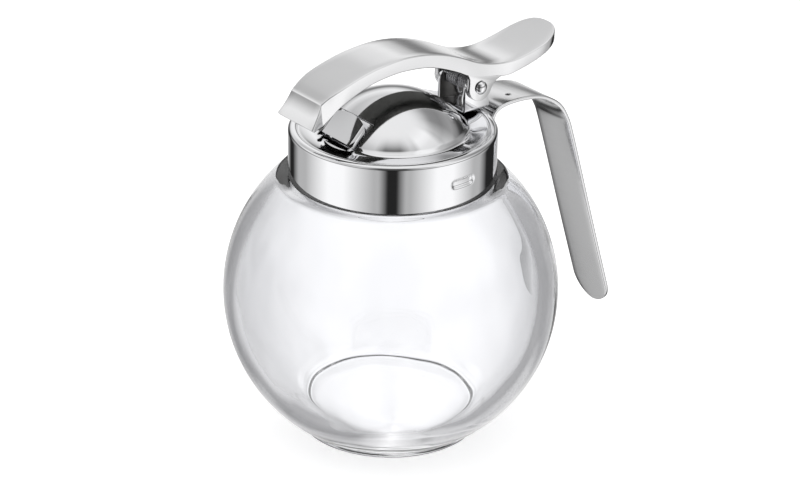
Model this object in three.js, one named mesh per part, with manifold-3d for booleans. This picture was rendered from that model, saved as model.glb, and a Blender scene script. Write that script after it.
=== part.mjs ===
// Honey dispenser: a round glass jar under a chromed lid that carries a sprung thumb lever,
// its bracket and pin, a sloping spout plate and a strip handle. Millimetres, +Z up.
// The origin is the middle of the jar's underside. The lever lies along X: the pouring nose
// points to -X, the thumb rest and the handle to +X. Touching pieces stand 0.3 mm apart.
import * as THREE from "three";
import { mergeVertices } from "three/addons/utils/BufferGeometryUtils.js";
import Module from "manifold-3d";

const wasm = await Module();
wasm.setup();

// ---------------------------------------------------------------- driving dimensions
const GAP = 0.3;

const BALL_R = 51.5; // outside radius of the glass ball
const BALL_Z = 44.3; // height of its centre
const BALL_INNER_R = 46.0; // inside radius, so the wall is 5.5 thick
const FOOT_R = 28.6;
const FOOT_H = 1.7;
const BASE_T = 7.3; // glass under the inner floor
const SHOULDER_Z = 82.35;
const NECK_R = 29.2;
const NECK_INNER_R = 25.2;
const NECK_TOP_Z = 96.2;

const COLLAR_R = 31.5;
const COLLAR_INNER_R = 30.0;
const COLLAR_LOW_Z = 82.75;
const LID_TOP_Z = 98.5;
const LID_UNDER_Z = 96.6;
const DOME_R = 26.6; // radius of the dome's ball
const DOME_Z = 83.3; // height of its centre
const DOME_INNER_R = 22.6;
const LUG_ANGLE = -86.5; // the pressed lug in the collar, degrees from +X
const LUG_Z = 90.7;
const LUG_LENGTH = 9.2;
const LUG_R = 1.7;
const LUG_DEPTH = 0.75;

const PLATE_HALF = 7.9; // half width of the spout plate
const PLATE_T = 2.2;
const PLATE_TOP = [-15.3, 106.1]; // upper edge of its sloping face (x, z)
const PLATE_LOW = [-21.3, 100.1]; // lower edge of its sloping face
const PLATE_BACK_BOW_R = 23.0;
const MOUTH_HALF = 7.1; // the slot the honey leaves by, under the sloping face
const MOUTH_ROOF = 0.75;
const MOUTH_BACK_X = -19.1;

const PIVOT = [26.6, 107.1]; // pin axis (x, z)
const PIN_R = 1.4;
const PIN_HOLE_R = 1.7;
const PIN_HEAD_R = 2.15;
const PIN_HEAD_H = 1.25;

const LEVER_HALF = 8.6;
const LEVER_TAIL_HALF = 9.2;
const EYE_R = 4.3;
const EYE_T = 1.6;

const EAR_OUT = LEVER_HALF - EYE_T - GAP;
const EAR_T = 1.1;
const BRACKET_LOW_Z = 98.8;
const BRACKET_T = 1.2;

const WIRE_R = 0.32;
const COIL_R = 2.4;
const COIL_TURNS = 4.6;
const COIL_PITCH = 0.92;

const STRIP_HALF = 8.0;
const STRIP_T = 1.6;
const STRIP_END_Z = 23.9; // centre of the rounded end

// ---------------------------------------------------------------- helpers
const D2R = Math.PI / 180;
const v2 = (x, y) => new THREE.Vector2(x, y);

// A three.js geometry as a solid for the boolean operations.
function solid(geometry) {
  const g = geometry.index ? geometry.toNonIndexed() : geometry.clone();
  g.deleteAttribute("normal");
  g.deleteAttribute("uv");
  const m = mergeVertices(g, 1e-4);
  return new wasm.Manifold(
    new wasm.Mesh({
      numProp: 3,
      vertProperties: new Float32Array(m.attributes.position.array),
      triVerts: new Uint32Array(m.index.array),
    }),
  );
}

// A solid back to a three.js geometry with flat faces.
function geometryOf(made) {
  const mesh = made.getMesh();
  const position = new Float32Array((mesh.vertProperties.length / mesh.numProp) * 3);
  for (let i = 0; i < position.length / 3; i += 1)
    for (let k = 0; k < 3; k += 1)
      position[3 * i + k] = mesh.vertProperties[mesh.numProp * i + k];
  const g = new THREE.BufferGeometry();
  g.setAttribute("position", new THREE.BufferAttribute(position, 3));
  g.setIndex(new THREE.BufferAttribute(new Uint32Array(mesh.triVerts), 1));
  const flat = g.toNonIndexed();
  flat.computeVertexNormals();
  return flat;
}

// A closed outline in X and Z, drawn across Y from y0 to y1.
function acrossY(points, y0, y1, holes = []) {
  const shape = new THREE.Shape(points.map(([x, z]) => v2(x, z)));
  for (const hole of holes)
    shape.holes.push(new THREE.Path(hole.map(([x, z]) => v2(x, z))));
  const g = new THREE.ExtrudeGeometry(shape, {
    depth: y1 - y0,
    bevelEnabled: false,
    curveSegments: 12,
  });
  g.rotateX(Math.PI / 2);
  g.translate(0, y1, 0);
  return g;
}

// A closed outline in X and Y, drawn up from z0 to z1.
function upZ(points, z0, z1) {
  const shape = new THREE.Shape(points.map(([x, y]) => v2(x, y)));
  const g = new THREE.ExtrudeGeometry(shape, {
    depth: z1 - z0,
    bevelEnabled: false,
  });
  g.translate(0, 0, z0);
  return g;
}

// A profile of (radius, height) turned about Z. It runs outside first, from the bottom up.
function turned(profile, segments) {
  const g = new THREE.LatheGeometry(
    profile.map(([r, z]) => v2(r, z)),
    segments,
  );
  g.rotateX(Math.PI / 2);
  return g;
}

function cylinderY(x, z, r, y0, y1, segments = 22) {
  const g = new THREE.CylinderGeometry(r, r, y1 - y0, segments);
  g.translate(x, (y0 + y1) / 2, z);
  return g;
}

// Points on an arc in a plane, angles in degrees.
function arc(cx, cz, r, a0, a1, n) {
  const out = [];
  for (let i = 0; i <= n; i += 1) {
    const a = (a0 + ((a1 - a0) * i) / n) * D2R;
    out.push([cx + r * Math.cos(a), cz + r * Math.sin(a)]);
  }
  return out;
}

// A smooth line through some points, as n + 1 points.
function smooth(points, n) {
  const curve = new THREE.SplineCurve(points.map(([x, z]) => v2(x, z)));
  return curve.getSpacedPoints(n).map((p) => [p.x, p.y]);
}

// ---------------------------------------------------------------- glass jar
const ballTopZ = SHOULDER_Z - 0.6;
const shoulderR = Math.sqrt(BALL_R ** 2 - (ballTopZ - BALL_Z) ** 2);
const footJoinZ = 2.9;
const footAngle = Math.asin((footJoinZ - BALL_Z) / BALL_R) / D2R;
const shoulderAngle = Math.asin((ballTopZ - BALL_Z) / BALL_R) / D2R;
const innerLow = Math.asin((9.0 - BALL_Z) / BALL_INNER_R) / D2R;
const innerHigh = Math.asin((80.2 - BALL_Z) / BALL_INNER_R) / D2R;
const jarProfile = [
  [0, 0],
  [FOOT_R - 1.0, 0],
  [FOOT_R - 0.3, 0.3],
  [FOOT_R, 1.0],
  [FOOT_R, FOOT_H],
  ...arc(0, BALL_Z, BALL_R, footAngle, shoulderAngle, 21),
  [shoulderR - 0.9, SHOULDER_Z - 0.1],
  [shoulderR - 2.0, SHOULDER_Z],
  [NECK_R + 1.4, SHOULDER_Z - 0.1],
  [NECK_R + 0.4, SHOULDER_Z + 0.2],
  [NECK_R, SHOULDER_Z + 1.0],
  [NECK_R, NECK_TOP_Z - 0.8],
  [NECK_R - 0.8, NECK_TOP_Z],
  [NECK_INNER_R + 0.8, NECK_TOP_Z],
  [NECK_INNER_R, NECK_TOP_Z - 0.8],
  [NECK_INNER_R, 83.6],
  [NECK_INNER_R + 0.8, 82.0],
  ...arc(0, BALL_Z, BALL_INNER_R, innerHigh, innerLow, 13),
  [27.9, BASE_T + 0.5],
  [25.8, BASE_T + 0.1],
  [20.0, BASE_T],
  [8.0, BASE_T + 0.2],
  [0, BASE_T + 0.4],
];
const jar = solid(turned(jarProfile, 52));

// ---------------------------------------------------------------- spout plate
const [topX, topZ] = PLATE_TOP;
const [lowX, lowZ] = PLATE_LOW;
const under = PLATE_T / Math.SQRT2;
const plateOutline = [
  [topX + 4, topZ + 4],
  [lowX, lowZ],
  [lowX - 1.05, lowZ - 0.85],
  [lowX - 1.45, lowZ - 1.3],
  [lowX - 1.4, lowZ - 1.75],
  [lowX + 1.3, lowZ - 1.8],
  [topX + 4 + under, topZ + 4 - under],
];
const bow = new THREE.CylinderGeometry(PLATE_BACK_BOW_R, PLATE_BACK_BOW_R, 40, 96);
bow.rotateX(Math.PI / 2);
bow.translate(topX - PLATE_BACK_BOW_R, 0, topZ);
const roof = MOUTH_ROOF * Math.SQRT2;
const mouthOutline = [
  [lowX - 3, lowZ - 3 - roof],
  [lowX - 3, lowZ - 3],
  [lowX - 0.6, lowZ - 0.6 - roof],
  [MOUTH_BACK_X, MOUTH_BACK_X + (lowZ - lowX) - roof],
  [MOUTH_BACK_X, lowZ - 3],
].reverse();
const spoutPlate = solid(acrossY(plateOutline, -PLATE_HALF, PLATE_HALF))
  .intersect(solid(bow))
  .subtract(solid(acrossY(mouthOutline, -MOUTH_HALF, MOUTH_HALF)));

// The seat the plate lies in, cut out of the dome.
const seatOutline = [
  [topX + 0.6, topZ + 6],
  [topX + 0.6, topZ - 0.3],
  [topX + under + 0.5, topZ - under - 0.1],
  [lowX + 1.55, lowZ - 2.1],
  [lowX - 2.2, lowZ - 2.1],
  [lowX - 2.2, topZ + 6],
];
const seat = solid(acrossY(seatOutline, -PLATE_HALF - GAP, PLATE_HALF + GAP));

// ---------------------------------------------------------------- lid
const domeFoot = Math.asin((98.5 - DOME_Z) / DOME_R) / D2R;
const domeUnder = Math.asin((LID_UNDER_Z - DOME_Z) / DOME_INNER_R) / D2R;
const lidProfile = [
  [COLLAR_INNER_R, COLLAR_LOW_Z],
  [COLLAR_R - 0.25, COLLAR_LOW_Z],
  [COLLAR_R, COLLAR_LOW_Z + 0.25],
  [COLLAR_R, 97.3],
  [COLLAR_R - 0.15, 97.9],
  [COLLAR_R - 0.5, 98.3],
  [COLLAR_R - 1.1, LID_TOP_Z],
  [29.5, LID_TOP_Z],
  [29.15, 98.42],
  [28.9, 98.12],
  [28.6, 98.2],
  [27.2, 97.9],
  [25.6, 97.68],
  [24.2, 97.6],
  [23.2, 97.72],
  [22.5, 98.05],
  ...arc(0, DOME_Z, DOME_R, domeFoot, 90, 10),
  ...arc(0, DOME_Z, DOME_INNER_R, 90, domeUnder, 5),
  [COLLAR_INNER_R, LID_UNDER_Z],
  [COLLAR_INNER_R, COLLAR_LOW_Z],
];
const lugGeometry = new THREE.CapsuleGeometry(LUG_R, LUG_LENGTH - 2 * LUG_R, 4, 14);
lugGeometry.translate(COLLAR_R + LUG_R - LUG_DEPTH, 0, 0);
lugGeometry.rotateZ(LUG_ANGLE * D2R);
lugGeometry.translate(0, 0, LUG_Z);
const lidBody = solid(turned(lidProfile, 60));
const lid = lidBody.subtract(seat).subtract(solid(lugGeometry));

// ---------------------------------------------------------------- thumb lever
// Upper line of the side face from the nose to the end of the thumb rest.
const tailZ = (x) => 113.2 + 0.1 * (x - 38) + 0.008 * (x - 38) ** 2;
const leverTop = [
  [-36.3, 108.6],
  [-32.0, 115.3],
  ...smooth(
    [
      [-31.6, 115.62],
      [-28.8, 117.35],
      [-24.5, 119.15],
      [-19.1, 120.85],
      [-13.7, 122.15],
      [-8.2, 122.88],
      [-3.0, 123.2],
      [2.0, 122.95],
      [6.6, 122.3],
      [11.0, 121.3],
      [15.5, 119.85],
      [20.0, 117.98],
      [24.0, 116.1],
      [28.0, 114.6],
      [32.0, 113.65],
      [36.0, 113.25],
      [40.0, tailZ(40)],
      [46.0, tailZ(46)],
      [52.0, tailZ(52)],
      [60.0, tailZ(60)],
    ],
    34,
  ),
];
// Its lower line, from the end of the thumb rest back to the nose.
const leverUnder = [
  ...smooth(
    [
      [60.0, tailZ(60) - 3.0],
      [54.0, tailZ(54) - 3.2],
      [48.0, tailZ(48) - 3.6],
      [42.0, tailZ(42) - 4.0],
      [37.0, tailZ(37) - 4.4],
      [32.5, 109.4],
      [29.0, 110.3],
      [25.0, 110.9],
      [21.5, 112.0],
      [18.2, 113.7],
      [14.4, 115.4],
      [10.5, 116.9],
      [6.7, 118.0],
      [3.0, 118.6],
      [-0.8, 118.9],
      [-4.5, 119.0],
      [-8.2, 118.7],
      [-12.0, 118.2],
      [-15.5, 117.4],
      [-19.1, 116.2],
      [-22.7, 114.7],
      [-26.4, 112.8],
    ],
    34,
  ),
  [-31.6, 108.2],
  [-35.4, 107.7],
];
const leverSide = [...leverTop, ...leverUnder].reverse();
// Half width along the lever: flared nose, waist at the crease, plain arch, oval thumb rest.
const widths = [
  [-37.5, 8.9],
  [-36.3, 8.7],
  [-32.0, 7.4],
  [-30.0, 7.75],
  [-27.0, 8.35],
  [-24.0, LEVER_HALF],
  [30.0, LEVER_HALF],
  [35.0, 8.75],
  [39.0, 9.05],
  [43.0, LEVER_TAIL_HALF],
  [49.0, LEVER_TAIL_HALF],
  [52.5, 8.95],
  [55.0, 8.2],
  [56.9, 6.9],
  [58.2, 5.1],
  [59.0, 3.0],
  [59.3, 1.0],
];
const planOutline = [
  ...widths.map(([x, w]) => [x, -w]),
  ...widths.map(([x, w]) => [x, w]).reverse(),
];
const band = solid(acrossY(leverSide, -12, 12)).intersect(solid(upZ(planOutline, 90, 135)));

const [pivotX, pivotZ] = PIVOT;
const eyeOutline = [
  ...arc(pivotX, pivotZ, EYE_R, 172, 345, 16),
  [31.6, 107.2],
  [33.4, 108.4],
  [35.6, 109.3],
  [34.0, 111.2],
  [24.5, 112.8],
  [20.6, 113.4],
  [21.9, 111.6],
  [22.6, 110.2],
].map(([x, z]) => [x, z]);
function eye(side) {
  const a = side > 0 ? LEVER_HALF - EYE_T : -LEVER_HALF;
  return solid(acrossY(eyeOutline, a, a + EYE_T));
}
const lever = band
  .add(eye(1))
  .add(eye(-1))
  .subtract(solid(cylinderY(pivotX, pivotZ, PIN_HOLE_R, -12, 12)));

// ---------------------------------------------------------------- bracket
const earOutline = [
  [22.2, BRACKET_LOW_Z],
  [31.6, BRACKET_LOW_Z],
  [31.4, 101.4],
  [30.3, 105.0],
  ...arc(pivotX, pivotZ, 3.1, -8, 118, 10),
  [23.6, 109.0],
  [22.6, 107.9],
  [22.2, 106.6],
];
const baseOutline = [
  [22.2, BRACKET_LOW_Z],
  [31.6, BRACKET_LOW_Z],
  [31.6, BRACKET_LOW_Z + BRACKET_T],
  [22.2, BRACKET_LOW_Z + BRACKET_T],
];
const bracket = solid(acrossY(earOutline, EAR_OUT - EAR_T, EAR_OUT))
  .add(solid(acrossY(earOutline, -EAR_OUT, -EAR_OUT + EAR_T)))
  .add(solid(acrossY(baseOutline, -EAR_OUT, EAR_OUT)))
  .subtract(solid(cylinderY(pivotX, pivotZ, PIN_HOLE_R, -12, 12)));

// ---------------------------------------------------------------- pin
// Turned about its own axis with a domed head at each end.
const headStart = LEVER_HALF + GAP;
const headBall = (PIN_HEAD_R ** 2 + PIN_HEAD_H ** 2) / (2 * PIN_HEAD_H);
const headLow = Math.asin((headBall - PIN_HEAD_H) / headBall) / D2R;
const headArc = arc(0, headStart + PIN_HEAD_H - headBall, headBall, headLow, 90, 5);
const pinProfile = [
  ...headArc.map(([r, y]) => [r, -y]).reverse(),
  [PIN_R, -headStart],
  [PIN_R, headStart],
  ...headArc,
];
const pinGeometry = new THREE.LatheGeometry(
  pinProfile.map(([r, y]) => v2(Math.max(r, 0), y)),
  22,
);
pinGeometry.translate(pivotX, 0, pivotZ);
const pin = solid(pinGeometry);

// ---------------------------------------------------------------- torsion spring
// One wire: a leg on the bracket's floor, a coil, a cross loop up under the lever,
// a second coil and a second leg.
const LOOP_X = 19.4;
const LOOP_Z = 111.5;
const LEG_X = 30.4;
const LEG_Z = BRACKET_LOW_Z + BRACKET_T + GAP + WIRE_R;
const COIL_IN = 0.75;
const coilOut = COIL_IN + COIL_TURNS * COIL_PITCH;
function wirePoints() {
  const pts = [];
  const push = (x, y, z) => pts.push(new THREE.Vector3(x, y, z));
  // Angle of the tangent point on the coil for the leg and for the loop.
  const start = -62 * D2R;
  const turn = 2 * Math.PI * COIL_TURNS;
  const n = 96;
  push(LEG_X, -coilOut - 0.05, LEG_Z);
  push(LEG_X - 1.2, -coilOut - 0.05, LEG_Z + 0.05);
  for (let i = 0; i <= n; i += 1) {
    const a = start - (turn * i) / n;
    const y = -coilOut + (COIL_TURNS * COIL_PITCH * i) / n;
    push(pivotX + COIL_R * Math.cos(a), y, pivotZ + COIL_R * Math.sin(a));
  }
  return pts;
}
const half = wirePoints();
const last = half[half.length - 1];
const loop = [
  new THREE.Vector3(last.x - 1.2, -COIL_IN, last.z + 0.2),
  new THREE.Vector3(LOOP_X + 1.2, -COIL_IN + 0.1, LOOP_Z - 0.7),
  new THREE.Vector3(LOOP_X + 0.3, -COIL_IN + 0.35, LOOP_Z - 0.2),
];
const mirrored = (p) => new THREE.Vector3(p.x, -p.y, p.z);
const wirePath = [
  ...half,
  ...loop,
  ...[...loop].reverse().map(mirrored),
  ...[...half].reverse().map(mirrored),
];
const wireCurve = new THREE.CatmullRomCurve3(wirePath, false, "centripetal");
const wireShape = new THREE.Shape(arc(0, 0, WIRE_R, 0, 288, 4).map(([x, y]) => v2(x, y)));
const springGeometry = new THREE.ExtrudeGeometry(wireShape, {
  steps: 190,
  bevelEnabled: false,
  extrudePath: wireCurve,
});
const spring = solid(springGeometry);

// ---------------------------------------------------------------- strip handle
// Middle line of the strip from the weld flange behind the collar to the rounded end.
const stripMiddle = smooth(
  [
    [32.6, 88.6],
    [32.6, 93.0],
    [32.9, 95.6],
    [34.4, 97.5],
    [37.4, 98.5],
    [40.8, 98.8],
    [44.6, 98.75],
    [48.5, 98.3],
    [52.4, 97.3],
    [55.7, 95.7],
    [58.6, 93.7],
    [60.8, 91.3],
    [62.4, 88.55],
    [63.75, 85.6],
    [66.35, 77.6],
    [70.15, 65.2],
    [74.05, 52.4],
    [77.95, 39.8],
    [81.85, 27.4],
    [86.95, 11.2],
  ],
  56,
);
function offsetLine(line, d) {
  return line.map(([x, z], i) => {
    const [ax, az] = line[Math.max(i - 1, 0)];
    const [bx, bz] = line[Math.min(i + 1, line.length - 1)];
    const l = Math.hypot(bx - ax, bz - az);
    return [x - (d * (bz - az)) / l, z + (d * (bx - ax)) / l];
  });
}
const stripOutline = [
  ...offsetLine(stripMiddle, -STRIP_T / 2),
  ...offsetLine(stripMiddle, STRIP_T / 2).reverse(),
];
const stripBlank = solid(acrossY(stripOutline, -STRIP_HALF, STRIP_HALF));
// The rounded end is cut with an upright outline seen along X.
const endOutline = [
  [STRIP_HALF + 0.1, 120],
  [-STRIP_HALF - 0.1, 120],
  [-STRIP_HALF - 0.1, STRIP_END_Z],
  ...arc(0, STRIP_END_Z, STRIP_HALF, 180, 360, 22),
  [STRIP_HALF + 0.1, STRIP_END_Z],
];
const endShape = new THREE.Shape(endOutline.map(([y, z]) => v2(y, z)));
const endGeometry = new THREE.ExtrudeGeometry(endShape, { depth: 80, bevelEnabled: false });
endGeometry.rotateX(Math.PI / 2);
endGeometry.rotateZ(Math.PI / 2);
endGeometry.translate(20, 0, 0);
const dimple = new THREE.SphereGeometry(1.4, 16, 10);
dimple.translate(41.8, -3.6, 100.55);
const collarRoom = new THREE.CylinderGeometry(COLLAR_R + GAP, COLLAR_R + GAP, 60, 120);
collarRoom.rotateX(Math.PI / 2);
collarRoom.translate(0, 0, 90);
const handle = stripBlank
  .intersect(solid(endGeometry))
  .subtract(solid(dimple))
  .subtract(solid(collarRoom));

// ---------------------------------------------------------------- the part
const CHROME = 0xdfe0e3;
const part = new THREE.Group();
part.name = "honey_dispenser";
function put(name, made, color, roughness, metalness, opacity = 1) {
  const material = new THREE.MeshStandardMaterial({
    color,
    roughness,
    metalness,
    opacity,
    transparent: opacity < 1,
  });
  material.name = name;
  const mesh = new THREE.Mesh(geometryOf(made), material);
  mesh.name = name;
  part.add(mesh);
}
put("jar", jar, 0xf3f5f8, 0.03, 0.0, 0.3);
put("lid", lid, CHROME, 0.08, 1.0);
put("spout_plate", spoutPlate, CHROME, 0.12, 1.0);
put("lever", lever, CHROME, 0.16, 1.0);
put("bracket", bracket, 0xcdced0, 0.14, 1.0);
put("pin", pin, CHROME, 0.1, 1.0);
put("spring", spring, 0xb4b5b8, 0.22, 1.0);
put("handle", handle, 0xd3d4d8, 0.2, 1.0);

export default part;
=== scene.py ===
# %% [markdown]
# # A honey dispenser, made in Blender
# This lesson dresses a table dispenser: a round jar of clear glass under a chromed lid, with a
# thumb lever, its bracket, pin and spring, a sloping spout plate and a strip handle.
# The plain solids and the way they move come first and are never changed. Each one is then
# stood in for by a finer mesh that sits in the same place and moves with the same body.

# %% Load the solids
import math
import bmesh
import bpy
from mathutils import Matrix, Quaternion, Vector


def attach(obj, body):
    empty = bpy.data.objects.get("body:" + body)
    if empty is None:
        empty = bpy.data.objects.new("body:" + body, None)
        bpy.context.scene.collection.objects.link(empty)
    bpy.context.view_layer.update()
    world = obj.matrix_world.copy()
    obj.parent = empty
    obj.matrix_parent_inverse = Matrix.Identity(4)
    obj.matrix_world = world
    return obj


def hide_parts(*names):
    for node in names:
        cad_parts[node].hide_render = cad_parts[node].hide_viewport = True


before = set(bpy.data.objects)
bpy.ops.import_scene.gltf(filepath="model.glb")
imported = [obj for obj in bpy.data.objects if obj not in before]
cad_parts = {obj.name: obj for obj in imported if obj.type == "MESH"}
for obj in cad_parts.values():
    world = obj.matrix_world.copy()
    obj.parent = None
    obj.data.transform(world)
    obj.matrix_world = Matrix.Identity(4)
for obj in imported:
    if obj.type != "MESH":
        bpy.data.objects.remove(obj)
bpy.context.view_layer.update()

# %% [markdown]
# ## The camera
# The picture is taken from a little above the lid, turned 38 degrees to the nose's side, with
# a long lens, so that upright lines stay nearly parallel. A camera could be aimed with a
# constraint, but the lid's middle doesn't sit in the picture's middle. So the camera looks
# straight at the lid first, and is then swung until the lid sits at its own place.

# %% Camera
MM = 0.001
PICTURE_W = 800
PICTURE_H = 504
AZIMUTH = math.radians(-38.0)
ELEVATION = 0.40080
DISTANCE = 800.0
AIM_AT = Vector((0.0, 0.0, 98.5))
FOCAL_PIXELS = 2671.36
AIM_PIXEL = (393.10, 125.17)
LEAN = 0.015065


def camera_side(azimuth, elevation):
    """Unit vector from the dispenser to the camera."""
    flat = math.cos(elevation)
    return Vector((math.sin(azimuth) * flat, -math.cos(azimuth) * flat, math.sin(elevation)))


toward_camera = camera_side(AZIMUTH, ELEVATION)
camera_data = bpy.data.cameras.new("camera")
camera_data.sensor_width = 36.0
camera_data.lens = FOCAL_PIXELS / PICTURE_W * 36.0
camera_data.clip_start = 0.02
camera_data.clip_end = 50.0
camera = bpy.data.objects.new("camera", camera_data)
bpy.context.scene.collection.objects.link(camera)
bpy.context.scene.camera = camera
camera.location = (AIM_AT + toward_camera * DISTANCE) * MM
in_lens = Vector((AIM_PIXEL[0] - PICTURE_W / 2, PICTURE_H / 2 - AIM_PIXEL[1], -FOCAL_PIXELS))
in_lens.normalize()
straight = (-toward_camera).to_track_quat("-Z", "Y")
swing = in_lens.rotation_difference(Vector((0.0, 0.0, -1.0)))
camera.rotation_mode = "QUATERNION"
camera.rotation_quaternion = straight @ swing @ Quaternion(in_lens, -LEAN)
print("lens in mm:", round(camera_data.lens, 1))

# %% [markdown]
# ## Small tools for sheets, turned pieces and plates
# Most of this object is turned on a lathe or pressed from sheet. So a few helpers are enough:
# a smooth line through points, an arc, a turned skin, and a skin over a row of equal rings.
# All of them work in millimetres, and the mesh is stored in metres.

# %% Lines and arcs
def arc(cx, cy, radius, first, last, count):
    """Points on a circle between two angles in degrees."""
    out = []
    for i in range(count + 1):
        angle = math.radians(first + (last - first) * i / count)
        out.append((cx + radius * math.cos(angle), cy + radius * math.sin(angle)))
    return out


def bend(points, per_span):
    """A smooth line that runs through all the points."""
    out = []
    last = len(points) - 1
    for i in range(last):
        a = points[max(i - 1, 0)]
        b = points[i]
        c = points[i + 1]
        d = points[min(i + 2, last)]
        for k in range(per_span):
            t = k / per_span
            out.append(
                tuple(
                    0.5
                    * (
                        2 * q
                        + (r - p) * t
                        + (2 * p - 5 * q + 4 * r - s) * t * t
                        + (3 * q - p - 3 * r + s) * t**3
                    )
                    for p, q, r, s in zip(a, b, c, d)
                )
            )
    out.append(tuple(points[-1]))
    return out


def along(table, x):
    """A value read from a table of (x, value) pairs, straight between them."""
    if x <= table[0][0]:
        return table[0][1]
    for (x0, y0), (x1, y1) in zip(table, table[1:]):
        if x <= x1:
            return y0 + (y1 - y0) * (x - x0) / (x1 - x0)
    return table[-1][1]


def smoothstep(edge0, edge1, x):
    """Zero before edge0, one after edge1 and smooth between them."""
    t = min(max((x - edge0) / (edge1 - edge0), 0.0), 1.0)
    return t * t * (3 - 2 * t)


# %% Meshes
def make_mesh(name, verts, faces):
    """A mesh object from corners in millimetres."""
    mesh = bpy.data.meshes.new(name)
    mesh.from_pydata([tuple(c * MM for c in v) for v in verts], [], faces)
    mesh.validate()
    piece = bpy.data.objects.new(name, mesh)
    bpy.context.scene.collection.objects.link(piece)
    return piece


def turned(name, profile, segments, shape=None):
    """A closed skin turned about Z from a profile of (radius, height).
    The profile starts and ends on the axis, or closes on itself."""
    on_axis = profile[0][0] < 1e-6
    rings = []
    verts = []
    for r, z in profile:
        if r < 1e-6:
            rings.append([len(verts)])
            verts.append((0.0, 0.0, z))
            continue
        ring = []
        for k in range(segments):
            angle = 2 * math.pi * k / segments
            rr, zz = (r, z) if shape is None else shape(r, z, angle)
            ring.append(len(verts))
            verts.append((rr * math.cos(angle), rr * math.sin(angle), zz))
        rings.append(ring)
    pairs = list(zip(rings, rings[1:]))
    if not on_axis:
        pairs.append((rings[-1], rings[0]))
    faces = []
    for low, high in pairs:
        for k in range(segments):
            n = (k + 1) % segments
            corners = [low[k % len(low)], low[n % len(low)], high[n % len(high)], high[k % len(high)]]
            face = list(dict.fromkeys(corners))
            if len(face) > 2:
                faces.append(face)
    return make_mesh(name, verts, faces)


def skin(name, rings):
    """A skin over rings that all have the same number of corners, with end caps."""
    count = len(rings[0])
    verts = [p for ring in rings for p in ring]
    faces = []
    for i in range(len(rings) - 1):
        j = i + 1
        for k in range(count):
            n = (k + 1) % count
            faces.append([i * count + k, i * count + n, j * count + n, j * count + k])
    faces.append(list(range(count))[::-1])
    faces.append([(len(rings) - 1) * count + k for k in range(count)])
    return make_mesh(name, verts, faces)


def plate(name, outline, y0, y1):
    """A flat outline in X and Z with a thickness across Y."""
    verts = [(x, y0, z) for x, z in outline] + [(x, y1, z) for x, z in outline]
    n = len(outline)
    faces = [list(range(n))[::-1], list(range(n, 2 * n))]
    faces += [[k, (k + 1) % n, n + (k + 1) % n, n + k] for k in range(n)]
    return make_mesh(name, verts, faces)


def rod_y(name, x, z, radius, y0, y1, count=64):
    """A round rod across Y."""
    return plate(name, arc(x, z, radius, 0, 360, count)[:-1], y0, y1)


# %% Joining, cutting and rounding
def tidy_normals(piece):
    """All faces of a closed skin point outwards: its volume is above zero then."""
    bm = bmesh.new()
    bm.from_mesh(piece.data)
    if bm.calc_volume(signed=True) < 0:
        bmesh.ops.reverse_faces(bm, faces=bm.faces)
    bm.to_mesh(piece.data)
    bm.free()


def apply_modifiers(piece):
    """Keeps the shape that the modifiers make, and drops the modifiers."""
    view = bpy.context.evaluated_depsgraph_get()
    view.update()
    made = bpy.data.meshes.new_from_object(piece.evaluated_get(view))
    piece.modifiers.clear()
    piece.data = made


def combine(piece, other, how):
    """UNION, DIFFERENCE or INTERSECT with another piece, which is used up."""
    tidy_normals(piece)
    tidy_normals(other)
    modifier = piece.modifiers.new(how.lower(), "BOOLEAN")
    modifier.operation = how
    modifier.solver = "MANIFOLD"
    modifier.object = other
    apply_modifiers(piece)
    bpy.data.objects.remove(other)


def round_edges(piece, width, steps=3, angle=32.0):
    """Breaks every edge that is sharper than the angle."""
    modifier = piece.modifiers.new("rounding", "BEVEL")
    modifier.width = width * MM
    modifier.segments = steps
    modifier.limit_method = "ANGLE"
    modifier.angle_limit = math.radians(angle)
    modifier.harden_normals = False
    apply_modifiers(piece)


def finish_shading(piece, angle=35.0):
    """Smooth shading with creases where two faces meet at more than the angle."""
    tidy_normals(piece)
    piece.data.shade_smooth()
    piece.data.set_sharp_from_angle(angle=math.radians(angle))


def place(piece, body, node, material):
    """Gives a piece its finish, its body, and the solid that it stands for."""
    piece.data.materials.clear()
    piece.data.materials.append(material)
    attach(piece, body)
    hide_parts(node)
    print(piece.name, len(piece.data.polygons), "faces")


def second_finish(piece, material, chosen):
    """A second material on the faces that are chosen by their middle and normal."""
    piece.data.materials.append(material)
    faces = [face for face in piece.data.polygons if chosen(face.center, face.normal)]
    for face in faces:
        face.material_index = 1
    print(piece.name, len(faces), "faces in", material.name)


# %% [markdown]
# ## Finishes
# A finish on a metal is mostly about what blurs its mirror image. A new chromed pressing is a
# near mirror with a trace of unevenness, and a polished casting is softer, with fine grain
# from the polishing belt. Both start from the same metal and differ in grain and blur. The
# underside of the lid gets a finish of its own, with less mirror and more plain scatter. The
# mouth, the lever's underside and the inside of the bracket get dark materials that are painted
# shade: they stand for the shade in those places, and the chrome round them reflects it.

# %% Node helpers
def new_material(name):
    """An empty material with a surface shader and an output."""
    material = bpy.data.materials.new(name)
    material.use_nodes = True
    nodes = material.node_tree.nodes
    nodes.clear()
    out = nodes.new("ShaderNodeOutputMaterial")
    shader = nodes.new("ShaderNodeBsdfPrincipled")
    material.node_tree.links.new(shader.outputs["BSDF"], out.inputs["Surface"])
    return material, nodes, material.node_tree.links, shader


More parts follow.
